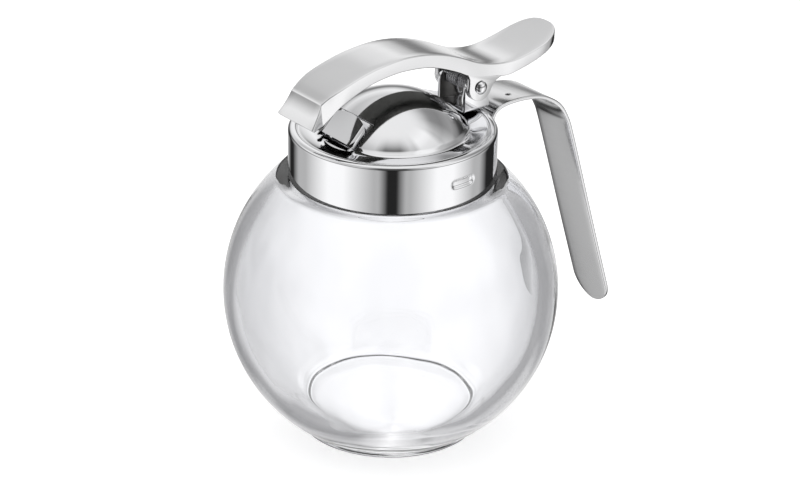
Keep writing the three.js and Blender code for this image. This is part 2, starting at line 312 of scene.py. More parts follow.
def grain(nodes, links, scale, stretch, detail, roughness=0.55):
    """Noise in object space, drawn out by the stretch along X, Y and Z."""
    place_node = nodes.new("ShaderNodeTexCoord")
    mapping = nodes.new("ShaderNodeMapping")
    mapping.inputs["Scale"].default_value = stretch
    noise = nodes.new("ShaderNodeTexNoise")
    noise.inputs["Scale"].default_value = scale
    noise.inputs["Detail"].default_value = detail
    noise.inputs["Roughness"].default_value = roughness
    links.new(place_node.outputs["Object"], mapping.inputs["Vector"])
    links.new(mapping.outputs["Vector"], noise.inputs["Vector"])
    return noise.outputs["Fac"]


def spread(nodes, links, source, low, high, start=0.3, end=0.7):
    """Maps a noise value from start..end to low..high."""
    node = nodes.new("ShaderNodeMapRange")
    node.inputs["From Min"].default_value = start
    node.inputs["From Max"].default_value = end
    node.inputs["To Min"].default_value = low
    node.inputs["To Max"].default_value = high
    links.new(source, node.inputs["Value"])
    return node.outputs["Result"]


def tint(nodes, links, source, dark, light):
    """A colour between two shades, by a noise value."""
    node = nodes.new("ShaderNodeMix")
    node.data_type = "RGBA"
    node.inputs["A"].default_value = (*dark, 1.0)
    node.inputs["B"].default_value = (*light, 1.0)
    links.new(source, node.inputs["Factor"])
    return node.outputs["Result"]


def relief(nodes, links, shader, height, depth, strength):
    """A bump on the shader. The depth is in millimetres."""
    node = nodes.new("ShaderNodeBump")
    node.inputs["Strength"].default_value = strength
    node.inputs["Distance"].default_value = depth * MM
    links.new(height, node.inputs["Height"])
    links.new(node.outputs["Normal"], shader.inputs["Normal"])
    return node


# %% Metal finishes
def metal(name, dark, light, blur, grain_scale, stretch, depth, metallic=1.0):
    """A plated metal: colour, blur and fine relief all come from noise."""
    material, nodes, links, shader = new_material(name)
    shader.inputs["Metallic"].default_value = metallic
    cloud = grain(nodes, links, 55.0, (1.0, 1.0, 1.0), 3.0)
    fine = grain(nodes, links, grain_scale, stretch, 4.0)
    links.new(tint(nodes, links, cloud, dark, light), shader.inputs["Base Color"])
    patchy = spread(nodes, links, cloud, blur[0], blur[1])
    lined = spread(nodes, links, fine, -blur[2], blur[2])
    total = nodes.new("ShaderNodeMath")
    total.operation = "ADD"
    total.use_clamp = True
    links.new(patchy, total.inputs[0])
    links.new(lined, total.inputs[1])
    links.new(total.outputs["Value"], shader.inputs["Roughness"])
    relief(nodes, links, shader, fine, depth, 0.4)
    return material


HALF_DULL = 0.45
bright_chrome = metal(
    "bright_chrome", (0.84, 0.845, 0.86), (0.90, 0.90, 0.91),
    (0.035, 0.075, 0.01), 420.0, (1.0, 1.0, 1.0), 0.002,
)
satin_chrome = metal(
    "satin_chrome", (0.80, 0.80, 0.81), (0.87, 0.87, 0.875),
    (0.10, 0.15, 0.02), 900.0, (0.12, 1.0, 1.0), 0.004,
)
strip_chrome = metal(
    "strip_chrome", (0.79, 0.79, 0.80), (0.86, 0.86, 0.865),
    (0.15, 0.21, 0.03), 800.0, (1.0, 0.10, 1.0), 0.004,
)
# Painted shade: a near-black material for the inner walls of the mouth, where shade falls.
mouth_painted_shade = metal(
    "mouth_painted_shade", (0.055, 0.055, 0.055), (0.10, 0.10, 0.10),
    (0.42, 0.55, 0.04), 700.0, (1.0, 1.0, 1.0), 0.004,
)
# Painted shade: a dark material for the lever's underside, where shade falls under the arch.
lever_underside_painted_shade = metal(
    "lever_underside_painted_shade", (0.10, 0.10, 0.095), (0.17, 0.17, 0.16),
    (0.34, 0.46, 0.05), 600.0, (1.0, 1.0, 1.0), 0.010,
)
spring_wire = metal(
    "spring_wire", (0.60, 0.60, 0.62), (0.74, 0.74, 0.76),
    (0.20, 0.30, 0.04), 1500.0, (1.0, 1.0, 1.0), 0.003, HALF_DULL,
)
# Painted shade: a dark material for the bracket's inner faces, in the shade between the ears.
bracket_inside_painted_shade = metal(
    "bracket_inside_painted_shade", (0.15, 0.145, 0.14), (0.24, 0.235, 0.23),
    (0.30, 0.42, 0.05), 600.0, (1.0, 1.0, 1.0), 0.006, HALF_DULL,
)
inner_plating = metal(
    "inner_plating", (0.78, 0.78, 0.79), (0.86, 0.86, 0.87),
    (0.40, 0.52, 0.04), 300.0, (1.0, 1.0, 1.0), 0.004, HALF_DULL,
)
print("finishes:", [m.name for m in bpy.data.materials if m.users == 0])

# %% [markdown]
# ## Clear glass
# The jar is pressed and blown glass with a wall of about five millimetres. Its look comes from
# real refraction: both faces of the wall are modelled, and light bends at each of them. A faint
# waviness in the relief stands for the slow ripples that such glass has.

# %% Glass
def clear_glass(name):
    """Clear glass with slow ripples and a hair of haze."""
    material, nodes, links, shader = new_material(name)
    shader.inputs["Transmission Weight"].default_value = 1.0
    shader.inputs["IOR"].default_value = 1.5
    ripple = grain(nodes, links, 42.0, (1.0, 1.0, 0.45), 1.5, 0.4)
    haze = grain(nodes, links, 130.0, (1.0, 1.0, 1.0), 3.0)
    links.new(
        tint(nodes, links, haze, (0.966, 0.970, 0.984), (0.986, 0.988, 0.994)),
        shader.inputs["Base Color"],
    )
    links.new(spread(nodes, links, haze, 0.0, 0.012), shader.inputs["Roughness"])
    relief(nodes, links, shader, ripple, 1.5, 0.5)
    return material


glass = clear_glass("clear_glass")

# %% [markdown]
# ## The jar
# A ball with a flat foot, a rounded shoulder and a short neck. One closed profile runs up the
# outside, over the lip and down the inside, and is turned once. The inside floor is thick, as
# it is in heavy table glass, and a little higher in the middle.

# %% Jar
BALL_R = 51.5
BALL_Z = 44.3
INNER_R = 46.0


def on_ball(radius, z):
    """Angle in degrees of a point on a ball, by its height."""
    return math.degrees(math.asin((z - BALL_Z) / radius))


jar_profile = (
    [(0.0, 0.0), (9.0, 0.0), (18.0, 0.0), (24.0, 0.0), (27.0, 0.0)]
    + arc(27.6, 1.0, 1.0, -85, 0, 8)
    + bend([(28.6, 1.2), (28.65, 1.9), (29.2, 2.5), (30.6, 2.95)], 4)
    + arc(0.0, BALL_Z, BALL_R, on_ball(BALL_R, 3.6), on_ball(BALL_R, 81.4), 96)
    + bend([(35.25, 81.95), (34.5, 82.26), (33.1, 82.35), (31.4, 82.25), (30.2, 82.35),
            (29.5, 82.75), (29.2, 83.65), (29.2, 86.0)], 4)
    + [(29.2, 90.0), (29.2, 94.6)]
    + arc(28.2, 95.2, 1.0, 0, 90, 8)
    + arc(26.2, 95.2, 1.0, 90, 180, 8)
    + [(25.2, 93.0), (25.2, 88.0)]
    + bend([(25.2, 85.4), (25.3, 84.2), (25.7, 82.9), (26.6, 81.6), (27.7, 80.7)], 4)
    + arc(0.0, BALL_Z, INNER_R, on_ball(INNER_R, 80.1), on_ball(INNER_R, 9.9), 88)
    + bend([(29.3, 9.1), (28.2, 8.3), (26.8, 7.75), (24.8, 7.45), (20.0, 7.3), (13.0, 7.35),
            (7.0, 7.5), (0.0, 7.6)], 5)
)


def blown(r, z, angle):
    """The inside face is a little uneven, as blown glass is."""
    if 20.0 < r < 30.0 and 7.2 < z < 10.5:
        return r + 0.28 * math.sin(7 * angle + 0.4) + 0.2 * math.sin(11 * angle + 1.7), z
    inside = r < 46.2 and 10.5 < z < 79.0 and r < math.sqrt(max(BALL_R**2 - (z - BALL_Z)**2, 0)) - 3
    if not inside:
        return r, z
    fade = smoothstep(10.5, 20.0, z) * (1 - smoothstep(68.0, 79.0, z))
    slow = math.sin(3 * angle + 0.6 + 0.02 * z) + 0.7 * math.sin(5 * angle - 1.1 + 0.05 * z)
    return r + 0.2 * fade * slow, z


jar = turned("jar_glass", jar_profile, 256, blown)
finish_shading(jar, 60.0)
place(jar, "dispenser", "jar", glass)

# %% [markdown]
# ## The lid
# One pressing: an upright collar that grips the neck, a rounded rim with a fine seam groove
# just inside it, a shallow hollow ring, and a dome in the middle. The profile is turned with
# many steps, because a mirror shows every flat. The oblong lug is pressed into the collar by
# moving its points inwards, and the seat of the spout plate is cut out of the dome.

# %% Lid profile
COLLAR_R = 31.5
DOME_R = 26.6
DOME_Z = 83.3
LUG_ANGLE = math.radians(-86.5)
LUG_Z = 90.7


def on_dome(radius, z):
    """Angle in degrees of a point on the dome's ball, by its height."""
    return math.degrees(math.asin((z - DOME_Z) / radius))


collar_rows = [(COLLAR_R, 83.35 + 0.3 * i) for i in range(46)]
lid_profile = (
    [(30.0, 82.95), (30.15, 82.75), (30.9, 82.75)]
    + arc(30.9, 83.35, 0.6, -90, 0, 6)
    + collar_rows[1:]
    + arc(30.2, 97.2, 1.3, 0, 90, 12)
    + bend([(29.75, 98.5), (29.4, 98.47), (29.15, 98.36), (28.95, 98.14), (28.75, 98.12),
            (28.5, 98.22), (28.1, 98.17), (27.2, 97.98), (26.0, 97.80), (24.8, 97.70),
            (23.7, 97.69), (22.95, 97.80), (22.45, 98.06), (22.05, 98.45)], 5)
    + arc(0.0, DOME_Z, DOME_R, on_dome(DOME_R, 98.9), 90, 64)[:-1]
    + [(0.0, DOME_Z + DOME_R)]
)
lid_under = (
    [(0.0, 105.9)]
    + arc(0.0, DOME_Z, 22.6, 90, on_dome(22.6, 97.1), 30)[1:]
    + bend([(18.3, 96.7), (19.2, 96.6), (24.0, 96.6), (29.0, 96.6)], 3)
    + [(29.7, 96.5), (30.0, 96.1), (30.0, 92.0), (30.0, 87.0)]
)


def lug_depth(angle, z):
    """How far the collar is pressed in around the lug, in millimetres."""
    across = COLLAR_R * ((angle - LUG_ANGLE + math.pi) % (2 * math.pi) - math.pi)
    beyond = max(abs(across) - 2.9, 0.0)
    from_middle = math.hypot(beyond, z - LUG_Z)
    return 0.74 * (1 - smoothstep(0.6, 1.75, from_middle))


def pressed(r, z, angle):
    """The lug is pressed into the collar only."""
    if r < COLLAR_R - 0.01 or z < 84.5 or z > 97.0:
        return r, z
    return min(r - lug_depth(angle, z), COLLAR_R), z


# %% Lid mesh
# The underside runs from the axis to the collar's lower edge, and the outside from there to
# the top of the dome. Together they are one line from axis to axis, so the skin is closed.
lid_loop = lid_under + lid_profile
lid = turned("lid_shell", lid_loop, 480, pressed)
print("lid rows:", len(lid_loop))

# %% [markdown]
# ## The seat and the spout plate
# The spout is a block with a sloping top that lies in a seat cut out of the dome. Its upper
# edge is bowed, so that it follows the dome. It is a skin over rings that run across the
# object, because only the upper edge changes from ring to ring.

# %% Seat in the lid
SLOPE_TOP_X = -15.3
SLOPE_LOW_X = -21.3
SLOPE_RISE = 121.4
PLATE_DROP = 3.11
PLATE_HALF = 7.9
BOW_R = 23.0
seat_outline = [
    (-14.7, 112.1),
    (-14.7, 105.8),
    (-13.24, 104.44),
    (-19.75, 97.9),
    (-24.2, 97.9),
    (-24.2, 112.1),
]
combine(lid, plate("seat_cutter", seat_outline, -8.2, 8.2), "DIFFERENCE")
finish_shading(lid, 30.0)
place(lid, "dispenser", "lid", bright_chrome)


def under_lid(middle, normal):
    """True for a face of the lid's underside or of the collar's inner wall."""
    outward = middle.x * normal.x + middle.y * normal.y
    in_collar = outward < 0 and abs(math.hypot(middle.x, middle.y) - 30.0 * MM) < 0.1 * MM
    return in_collar or normal.z < -0.3


second_finish(lid, inner_plating, under_lid)

# %% Spout plate
SIDE_WIDTH = 1.75
SIDE_FALL = 0.6
SIDE_SOFT = 0.3
flat_half = PLATE_HALF - SIDE_WIDTH


def spout_ring(y):
    """The block's outline at one distance from the middle. Its sides are rolled over."""
    back = SLOPE_TOP_X - BOW_R + math.sqrt(BOW_R**2 - y**2)
    beyond = max(abs(y) - flat_half, 0.0)
    sunk = SIDE_FALL * (math.hypot(beyond, SIDE_SOFT) - SIDE_SOFT) / math.sqrt(2)
    outline = [
        (back + 0.3 * sunk, back + SLOPE_RISE - 1.7 * sunk),
        (SLOPE_LOW_X + sunk, SLOPE_LOW_X + SLOPE_RISE - sunk),
        (-22.35 + 0.6 * sunk, 99.25 - 0.3 * sunk),
        (-22.75 + 0.4 * sunk, 98.8),
        (-22.7 + 0.4 * sunk, 98.35),
        (-20.0, 98.3),
        (back, back + SLOPE_RISE - PLATE_DROP),
    ]
    return [(x, y, z) for x, z in outline]


turn_in = [flat_half + SIDE_WIDTH * i / 12 for i in range(13)]
across_spout = [-y for y in turn_in[::-1]]
across_spout += [flat_half * (i / 15 - 1) for i in range(1, 30)]
across_spout += turn_in
spout = skin("spout_block", [spout_ring(y) for y in across_spout])
tidy_normals(spout)
round_edges(spout, 0.16, 3, 34.0)

# %% [markdown]
# ## The mouth
# Honey leaves through a wide, low slot under the sloping face. It is cut out of the block with
# a cutter drawn from the side, and its inner walls get a dark material that is painted shade:
# a wide bright reflection inside would close the opening to the eye.

# %% Mouth
MOUTH_HALF = 7.45
MOUTH_BACK_X = -19.1
MOUTH_LIP_X = -21.45
MOUTH_LIP_Z = 99.72
MOUTH_ROOF_Z = 101.2
mouth_outline = [
    (-24.5, 97.0),
    (-24.5, MOUTH_LIP_Z),
    (MOUTH_LIP_X, MOUTH_LIP_Z),
    (MOUTH_BACK_X, MOUTH_ROOF_Z),
    (MOUTH_BACK_X, 97.0),
]
combine(spout, plate("mouth_cutter", mouth_outline, -MOUTH_HALF, MOUTH_HALF), "DIFFERENCE")


def in_mouth(middle, normal):
    """True for a face of the slot's roof, back or side walls."""
    x, y, z = (c / MM for c in middle)
    at_side = abs(abs(y) - MOUTH_HALF) < 0.02 and normal.y * y < 0
    at_back = abs(x - MOUTH_BACK_X) < 0.02
    rise = (MOUTH_ROOF_Z - MOUTH_LIP_Z) / (MOUTH_BACK_X - MOUTH_LIP_X)
    roof_z = MOUTH_LIP_Z + max(x - MOUTH_LIP_X, 0.0) * rise
    at_roof = normal.z < -0.3 and abs(z - roof_z) < 0.03
    return at_side or at_back or at_roof


finish_shading(spout, 40.0)
place(spout, "dispenser", "spout_plate", bright_chrome)
# The slot's roof, back and side walls get painted shade, a near-black material.
second_finish(spout, mouth_painted_shade, in_mouth)

# %% [markdown]
# ## The thumb lever
# A polished casting: a flat nose that slopes down, a crease, a long arch, a dip over the pin
# and an oval thumb rest. Two eyes hang under the dip and hold the pin. The bar is a skin over
# rings from the nose to the thumb rest, each a rectangle with rounded corners, so height,
# width and corner can change along it. The eyes are joined on, and the pin's hole is cut.

# %% Lever lines
PIVOT_X = 26.6
PIVOT_Z = 107.1
LEVER_HALF = 8.6
REST_HALF = 9.2
TIP_X = 59.3
OVAL_FROM = 47.0


def rest_height(x):
    """Height of the thumb rest's upper face."""
    return 113.2 + 0.1 * (x - 38) + 0.008 * (x - 38) ** 2


lever_top = bend(
    [(-32.0, 115.3), (-31.2, 115.87), (-28.8, 117.35), (-24.5, 119.15), (-19.1, 120.85),
     (-13.7, 122.15), (-8.2, 122.88), (-3.0, 123.2), (2.0, 122.95), (6.6, 122.3), (11.0, 121.3),
     (15.5, 119.85), (20.0, 117.98), (24.0, 116.1), (28.0, 114.6), (32.0, 113.65), (36.0, 113.25)]
    + [(x, rest_height(x)) for x in (40, 44, 48, 52, 56, 60)],
    8,
)
lever_under = bend(
    [(-31.6, 108.2), (-29.0, 110.5), (-26.4, 112.8), (-22.7, 114.7), (-19.1, 116.2),
     (-15.5, 117.4), (-12.0, 118.2), (-8.2, 118.7), (-4.5, 119.0), (-0.8, 118.9), (3.0, 118.6),
     (6.7, 118.0), (10.5, 116.9), (14.4, 115.4), (18.2, 113.7), (21.5, 112.0), (25.0, 110.9),
     (29.0, 110.3), (32.5, 109.4), (37.0, 108.75)]
    + [(x, rest_height(x) - 4.0 + 0.055 * (x - 42)) for x in (42, 48, 54, 60)],
    8,
)
lever_side = bend(
    [(-32.0, 7.4), (-30.0, 7.75), (-27.0, 8.35), (-24.0, LEVER_HALF), (-18.0, LEVER_HALF),
     (0.0, LEVER_HALF), (20.0, LEVER_HALF), (30.0, LEVER_HALF), (35.0, 8.75), (39.0, 9.05),
     (43.0, REST_HALF), (OVAL_FROM, REST_HALF)],
    8,
)


def lever_half(x):
    """Half width of the lever seen from above."""
    if x < -32.0:
        return 7.4 + (-32.0 - x) * 0.30
    if x < OVAL_FROM:
        return along(lever_side, x)
    t = min((x - OVAL_FROM) / (TIP_X - OVAL_FROM), 1.0)
    return REST_HALF * max(1 - t**2.7, 0.0) ** (1 / 2.7)


def rounded_section(half, low, high, r_low, r_high, crown=0.0, steps=5):
    """A rectangle with rounded corners as (y, z) points. The upper face may be crowned."""
    limit = 0.49 * (high - low)
    r_low = min(r_low, limit, half * 0.9)
    r_high = min(r_high, limit, half * 0.9)
    points = arc(half - r_low, low + r_low, r_low, -90, 0, steps)
    points += arc(half - r_high, high - r_high, r_high, 0, 90, steps)
    points += [(half * f, high) for f in (0.66, 0.33, 0.0, -0.33, -0.66)]
    points += arc(-half + r_high, high - r_high, r_high, 90, 180, steps)
    points += arc(-half + r_low, low + r_low, r_low, 180, 270, steps)
    return [(y, z - crown * (y / half) ** 2 if z > (low + high) / 2 else z) for y, z in points]


def lever_ring(top, under, width_at):
    """One ring of the lever between a point of its upper and of its lower line."""
    half = max(lever_half(width_at), 0.35)
    points = rounded_section(half, under[1], top[1], 0.4, 0.38)
    ring = []
    for y, z in points:
        part = (z - under[1]) / (top[1] - under[1])
        ring.append((under[0] + (top[0] - under[0]) * part, y, z))
    return ring


# %% Lever bar
NOSE_TOP = (-36.3, 108.6)
NOSE_UNDER = (-35.4, 107.7)
CREASE_TOP = (-32.0, 115.3)
CREASE_UNDER = (-31.6, 108.2)
NOSE_HOLLOW = 0.28
lever_rings = []
for i in range(18):
    f = i / 18
    top = tuple(a + (b - a) * f for a, b in zip(NOSE_TOP, CREASE_TOP))
    hollow = NOSE_HOLLOW * math.sin(math.pi * f)
    top = (top[0] + hollow * 0.84, top[1] - hollow * 0.54)
    under = tuple(a + (b - a) * f for a, b in zip(NOSE_UNDER, CREASE_UNDER))
    lever_rings.append(lever_ring(top, under, top[0]))
lever_rings.append(lever_ring(CREASE_TOP, CREASE_UNDER, CREASE_TOP[0]))
lever_stations = [-31.2 + 0.62 * i for i in range(126)]
for i in range(1, 41):
    to_tip = math.sin(math.pi / 2 * i / 40)
    lever_stations.append(TIP_X - (TIP_X - OVAL_FROM) * (1 - to_tip))
for x in lever_stations:
    lever_rings.append(lever_ring((x, along(lever_top, x)), (x, along(lever_under, x)), x))
lever = skin("thumb_lever_bar", lever_rings)
tidy_normals(lever)
print("lever rings:", len(lever_rings))

# %% Lever eyes and hole
EYE_R = 4.3
eye_outline = arc(PIVOT_X, PIVOT_Z, EYE_R, 172, 345, 40) + bend(
    [(31.6, 107.2), (32.4, 107.9), (33.6, 108.55), (35.6, 109.3)], 4
) + [(34.0, 111.2), (24.5, 112.8), (20.6, 113.4), (21.9, 111.6), (22.4, 110.4), (22.45, 109.0)]
for side in (-1, 1):
    inner = side * 7.0
    outer = side * 8.585
    eye = plate("eye", eye_outline, min(inner, outer), max(inner, outer))
    tidy_normals(eye)
    round_edges(eye, 0.22, 2, 50.0)
    combine(lever, eye, "UNION")
combine(lever, rod_y("pin_hole", PIVOT_X, PIVOT_Z, 1.7, -12, 12), "DIFFERENCE")
finish_shading(lever, 34.0)
place(lever, "thumb_lever", "lever", satin_chrome)


def under_lever(middle, normal):
    """True for a face of the bar's underside, above the eyes."""
    return normal.z < -0.35 and middle.z > 109.5 * MM


# The bar's underside gets painted shade, a dark copy of the metal, which the dome mirrors.
second_finish(lever, lever_underside_painted_shade, under_lever)

# %% [markdown]
# ## Bracket and pin
# The bracket is one strip bent to a U, with two ears that carry the pin. A U-shaped bar along
# the lever's direction is made first, and is then cut to the ears' outline seen from the side.
# The pin is turned, with a domed head riveted at each end.

# %% Bracket
EAR_OUT = 6.7
EAR_T = 1.1
BRACKET_Z = 98.8
BEND_R = 1.3
bend_outer = arc(EAR_OUT - BEND_R, BRACKET_Z + BEND_R, BEND_R, -90, 0, 8)
bend_inner = arc(EAR_OUT - BEND_R, BRACKET_Z + BEND_R, BEND_R - EAR_T, -90, 0, 8)
u_half = bend_outer + [(EAR_OUT, 112.0), (EAR_OUT - EAR_T, 112.0)] + bend_inner[::-1]
u_shape = u_half + [(-y, z) for y, z in u_half[::-1]]
u_bar = skin("hinge_bracket", [[(x, y, z) for y, z in u_shape] for x in (20.0, 34.0)])
ear_outline = (
    [(22.2, 96.0), (31.6, 96.0), (31.6, 98.9)]
    + bend([(31.5, 100.6), (31.1, 102.4), (30.4, 104.8), (29.8, 106.6)], 4)
    + arc(PIVOT_X, PIVOT_Z, 3.1, -4, 112, 24)
    + bend([(24.6, 109.75), (23.6, 109.0), (22.7, 108.0), (22.25, 106.8), (22.2, 105.6)], 4)
)
combine(u_bar, plate("ear_outline", ear_outline, -9, 9), "INTERSECT")
combine(u_bar, rod_y("ear_hole", PIVOT_X, PIVOT_Z, 1.7, -12, 12), "DIFFERENCE")
round_edges(u_bar, 0.16, 2, 40.0)
finish_shading(u_bar, 38.0)
place(u_bar, "dispenser", "bracket", bright_chrome)


def inside_bracket(middle, normal):
    """True for a face that looks towards the middle of the bracket."""
    return normal.y * middle.y < -0.5 * MM


# The bracket's inner faces get painted shade, a dark copy of the metal.
second_finish(u_bar, bracket_inside_painted_shade, inside_bracket)

# %% Pin
PIN_R = 1.4
HEAD_R = 2.15
HEAD_H = 1.25
HEAD_FROM = LEVER_HALF + 0.3
head_ball = (HEAD_R**2 + HEAD_H**2) / (2 * HEAD_H)
head_low = math.degrees(math.asin((head_ball - HEAD_H) / head_ball))
head_line = [(HEAD_R - 0.12, HEAD_FROM)] + arc(
    0.0, HEAD_FROM + HEAD_H - head_ball, head_ball, head_low + 4, 90, 16
)
head_line[-1] = (0.0, HEAD_FROM + HEAD_H)
shank = [(PIN_R, -HEAD_FROM), (PIN_R, HEAD_FROM)]
pin_line = [(r, -y) for r, y in head_line[::-1]] + shank + head_line
pin = turned("hinge_pin", pin_line, 64)
pin.data.transform(Matrix.Rotation(math.radians(-90), 4, "X"))
pin.data.transform(Matrix.Translation(Vector((PIVOT_X, 0.0, PIVOT_Z)) * MM))
finish_shading(pin, 40.0)
place(pin, "dispenser", "pin", bright_chrome)

# %% [markdown]
# ## The spring
# A double torsion spring: a leg on the bracket's floor, a coil round the pin, a loop that
# presses up under the lever, and the same again on the other side. It is one round wire. A
# tube skin over the wire's path gives real round turns that catch the light one by one.

# %% Spring path
WIRE_R = 0.32
COIL_R = 2.4
COIL_TURNS = 4.6
COIL_PITCH = 0.92
COIL_IN = 0.75
coil_out = COIL_IN + COIL_TURNS * COIL_PITCH
leg_z = BRACKET_Z + 1.2 + 0.3 + WIRE_R
wire_half = [
    Vector((30.4, -coil_out - 0.05, leg_z)),
    Vector((29.2, -coil_out - 0.05, leg_z + 0.05)),
]
COIL_STEPS = 150
for i in range(COIL_STEPS + 1):
    angle = math.radians(-62) - 2 * math.pi * COIL_TURNS * i / COIL_STEPS
    wire_half.append(
        Vector(
            (
                PIVOT_X + COIL_R * math.cos(angle),
                -coil_out + COIL_TURNS * COIL_PITCH * i / COIL_STEPS,
                PIVOT_Z + COIL_R * math.sin(angle),
            )
        )
    )
coil_end = wire_half[-1]
wire_half += [
    Vector((coil_end.x - 1.2, -COIL_IN, coil_end.z + 0.2)),
    Vector((20.6, -COIL_IN + 0.1, 110.8)),
    Vector((19.7, -COIL_IN + 0.35, 111.3)),
]
wire_path = wire_half + [Vector((p.x, -p.y, p.z)) for p in wire_half[::-1]]


def tube(name, path, radius, sides):
    """A round tube over a path. Its ring is carried along without twist."""
    rings = []
    normal = Vector((0.0, 0.0, 1.0))
    for i, point in enumerate(path):
        ahead = path[min(i + 1, len(path) - 1)] - path[max(i - 1, 0)]
        ahead.normalize()
        normal = (normal - ahead * normal.dot(ahead)).normalized()
        side = ahead.cross(normal)
        ring = []
        for k in range(sides):
            angle = 2 * math.pi * k / sides
            ring.append(tuple(point + (normal * math.cos(angle) + side * math.sin(angle)) * radius))
        rings.append(ring)
    return skin(name, rings)


smooth_wire = [Vector(p) for p in bend([tuple(p) for p in wire_path], 2)]
spring = tube("lever_spring", smooth_wire, WIRE_R, 12)
finish_shading(spring, 60.0)
place(spring, "dispenser", "spring", spring_wire)
print("spring turns a side:", COIL_TURNS)

# %% [markdown]
# ## The strip handle
# A flat strip with polished edges. It leaves the collar, turns over a flat top where the thumb
# rest comes down, and falls away at a slant to a rounded end. Rings with a rounded section
# follow its middle line, and they get narrower along a half circle at the end. The inner face
# is crowned a little, which gives it a soft change of tone from edge to edge.

# %% Handle
STRIP_HALF = 8.0
STRIP_T = 1.6
INNER_CROWN = 0.34
END_Z = 23.9
strip_middle = bend(
    [(32.6, 88.6), (32.6, 93.0), (32.9, 95.6), (34.4, 97.5), (37.4, 98.5), (40.8, 98.8),
     (44.6, 98.75), (48.5, 98.3), (52.4, 97.3), (55.7, 95.7), (58.6, 93.7), (60.8, 91.3),
     (62.4, 88.55), (63.75, 85.6), (66.35, 77.6), (70.15, 65.2), (74.05, 52.4), (77.95, 39.8),
     (81.85, 27.4), (82.95, 23.9)],
    8,
)
fall = 4.14 / 13.4
end_steps = [math.radians(88.5 * math.sin(math.pi / 2 * i / 30)) for i in range(1, 31)]
strip_line = [(x, z, STRIP_HALF) for x, z in strip_middle]
for angle in end_steps:
    down = STRIP_HALF * math.sin(angle)
    strip_line.append((82.95 + fall * down, END_Z - down, STRIP_HALF * math.cos(angle)))


def strip_rings():
    """Rings across the strip, square to its middle line."""
    rings = []
    last = len(strip_line) - 1
    for i, (x, z, half) in enumerate(strip_line):
        x0, z0, _ = strip_line[max(i - 1, 0)]
        x1, z1, _ = strip_line[min(i + 1, last)]
        ahead = Vector((x1 - x0, 0.0, z1 - z0)).normalized()
        out = Vector((ahead.z, 0.0, -ahead.x)) * -1.0
        ring = []
        crown = INNER_CROWN * half / STRIP_HALF
        section = rounded_section(max(half, 0.3), -STRIP_T / 2, STRIP_T / 2, 0.45, 0.40, crown)
        for y, t in section:
            p = Vector((x, y, z)) - out * t
            ring.append(tuple(p))
        rings.append(ring)
    return rings


handle = skin("strip_handle", strip_rings())
tidy_normals(handle)
ball = turned("dimple", arc(0.0, 100.5, 1.4, -90, 90, 24), 48)
ball.data.transform(Matrix.Translation(Vector((41.8, -3.6, 0.05)) * MM))
combine(handle, ball, "DIFFERENCE")
finish_shading(handle, 40.0)
place(handle, "dispenser", "handle", strip_chrome)

# %% [markdown]
# ## Floor, studio and light
# Chrome and glass show the room more than themselves, so the room is the finish. A white floor
# and a white backdrop make the glass bright in the middle. Left and right of the backdrop a
# studio is darker, and there is a dark gap behind the camera between two soft boxes: they draw
# the dark bands on the collar and the dark edges of the jar. A dark skirting runs round the room
# a little above the table: it draws the dark bands across the lever's arch and dip. The room is
# painted on the world by direction, so it is soft, free of grain and the same from every side.
# Through the glass the room looks lighter, as if more white card stood close round the jar.

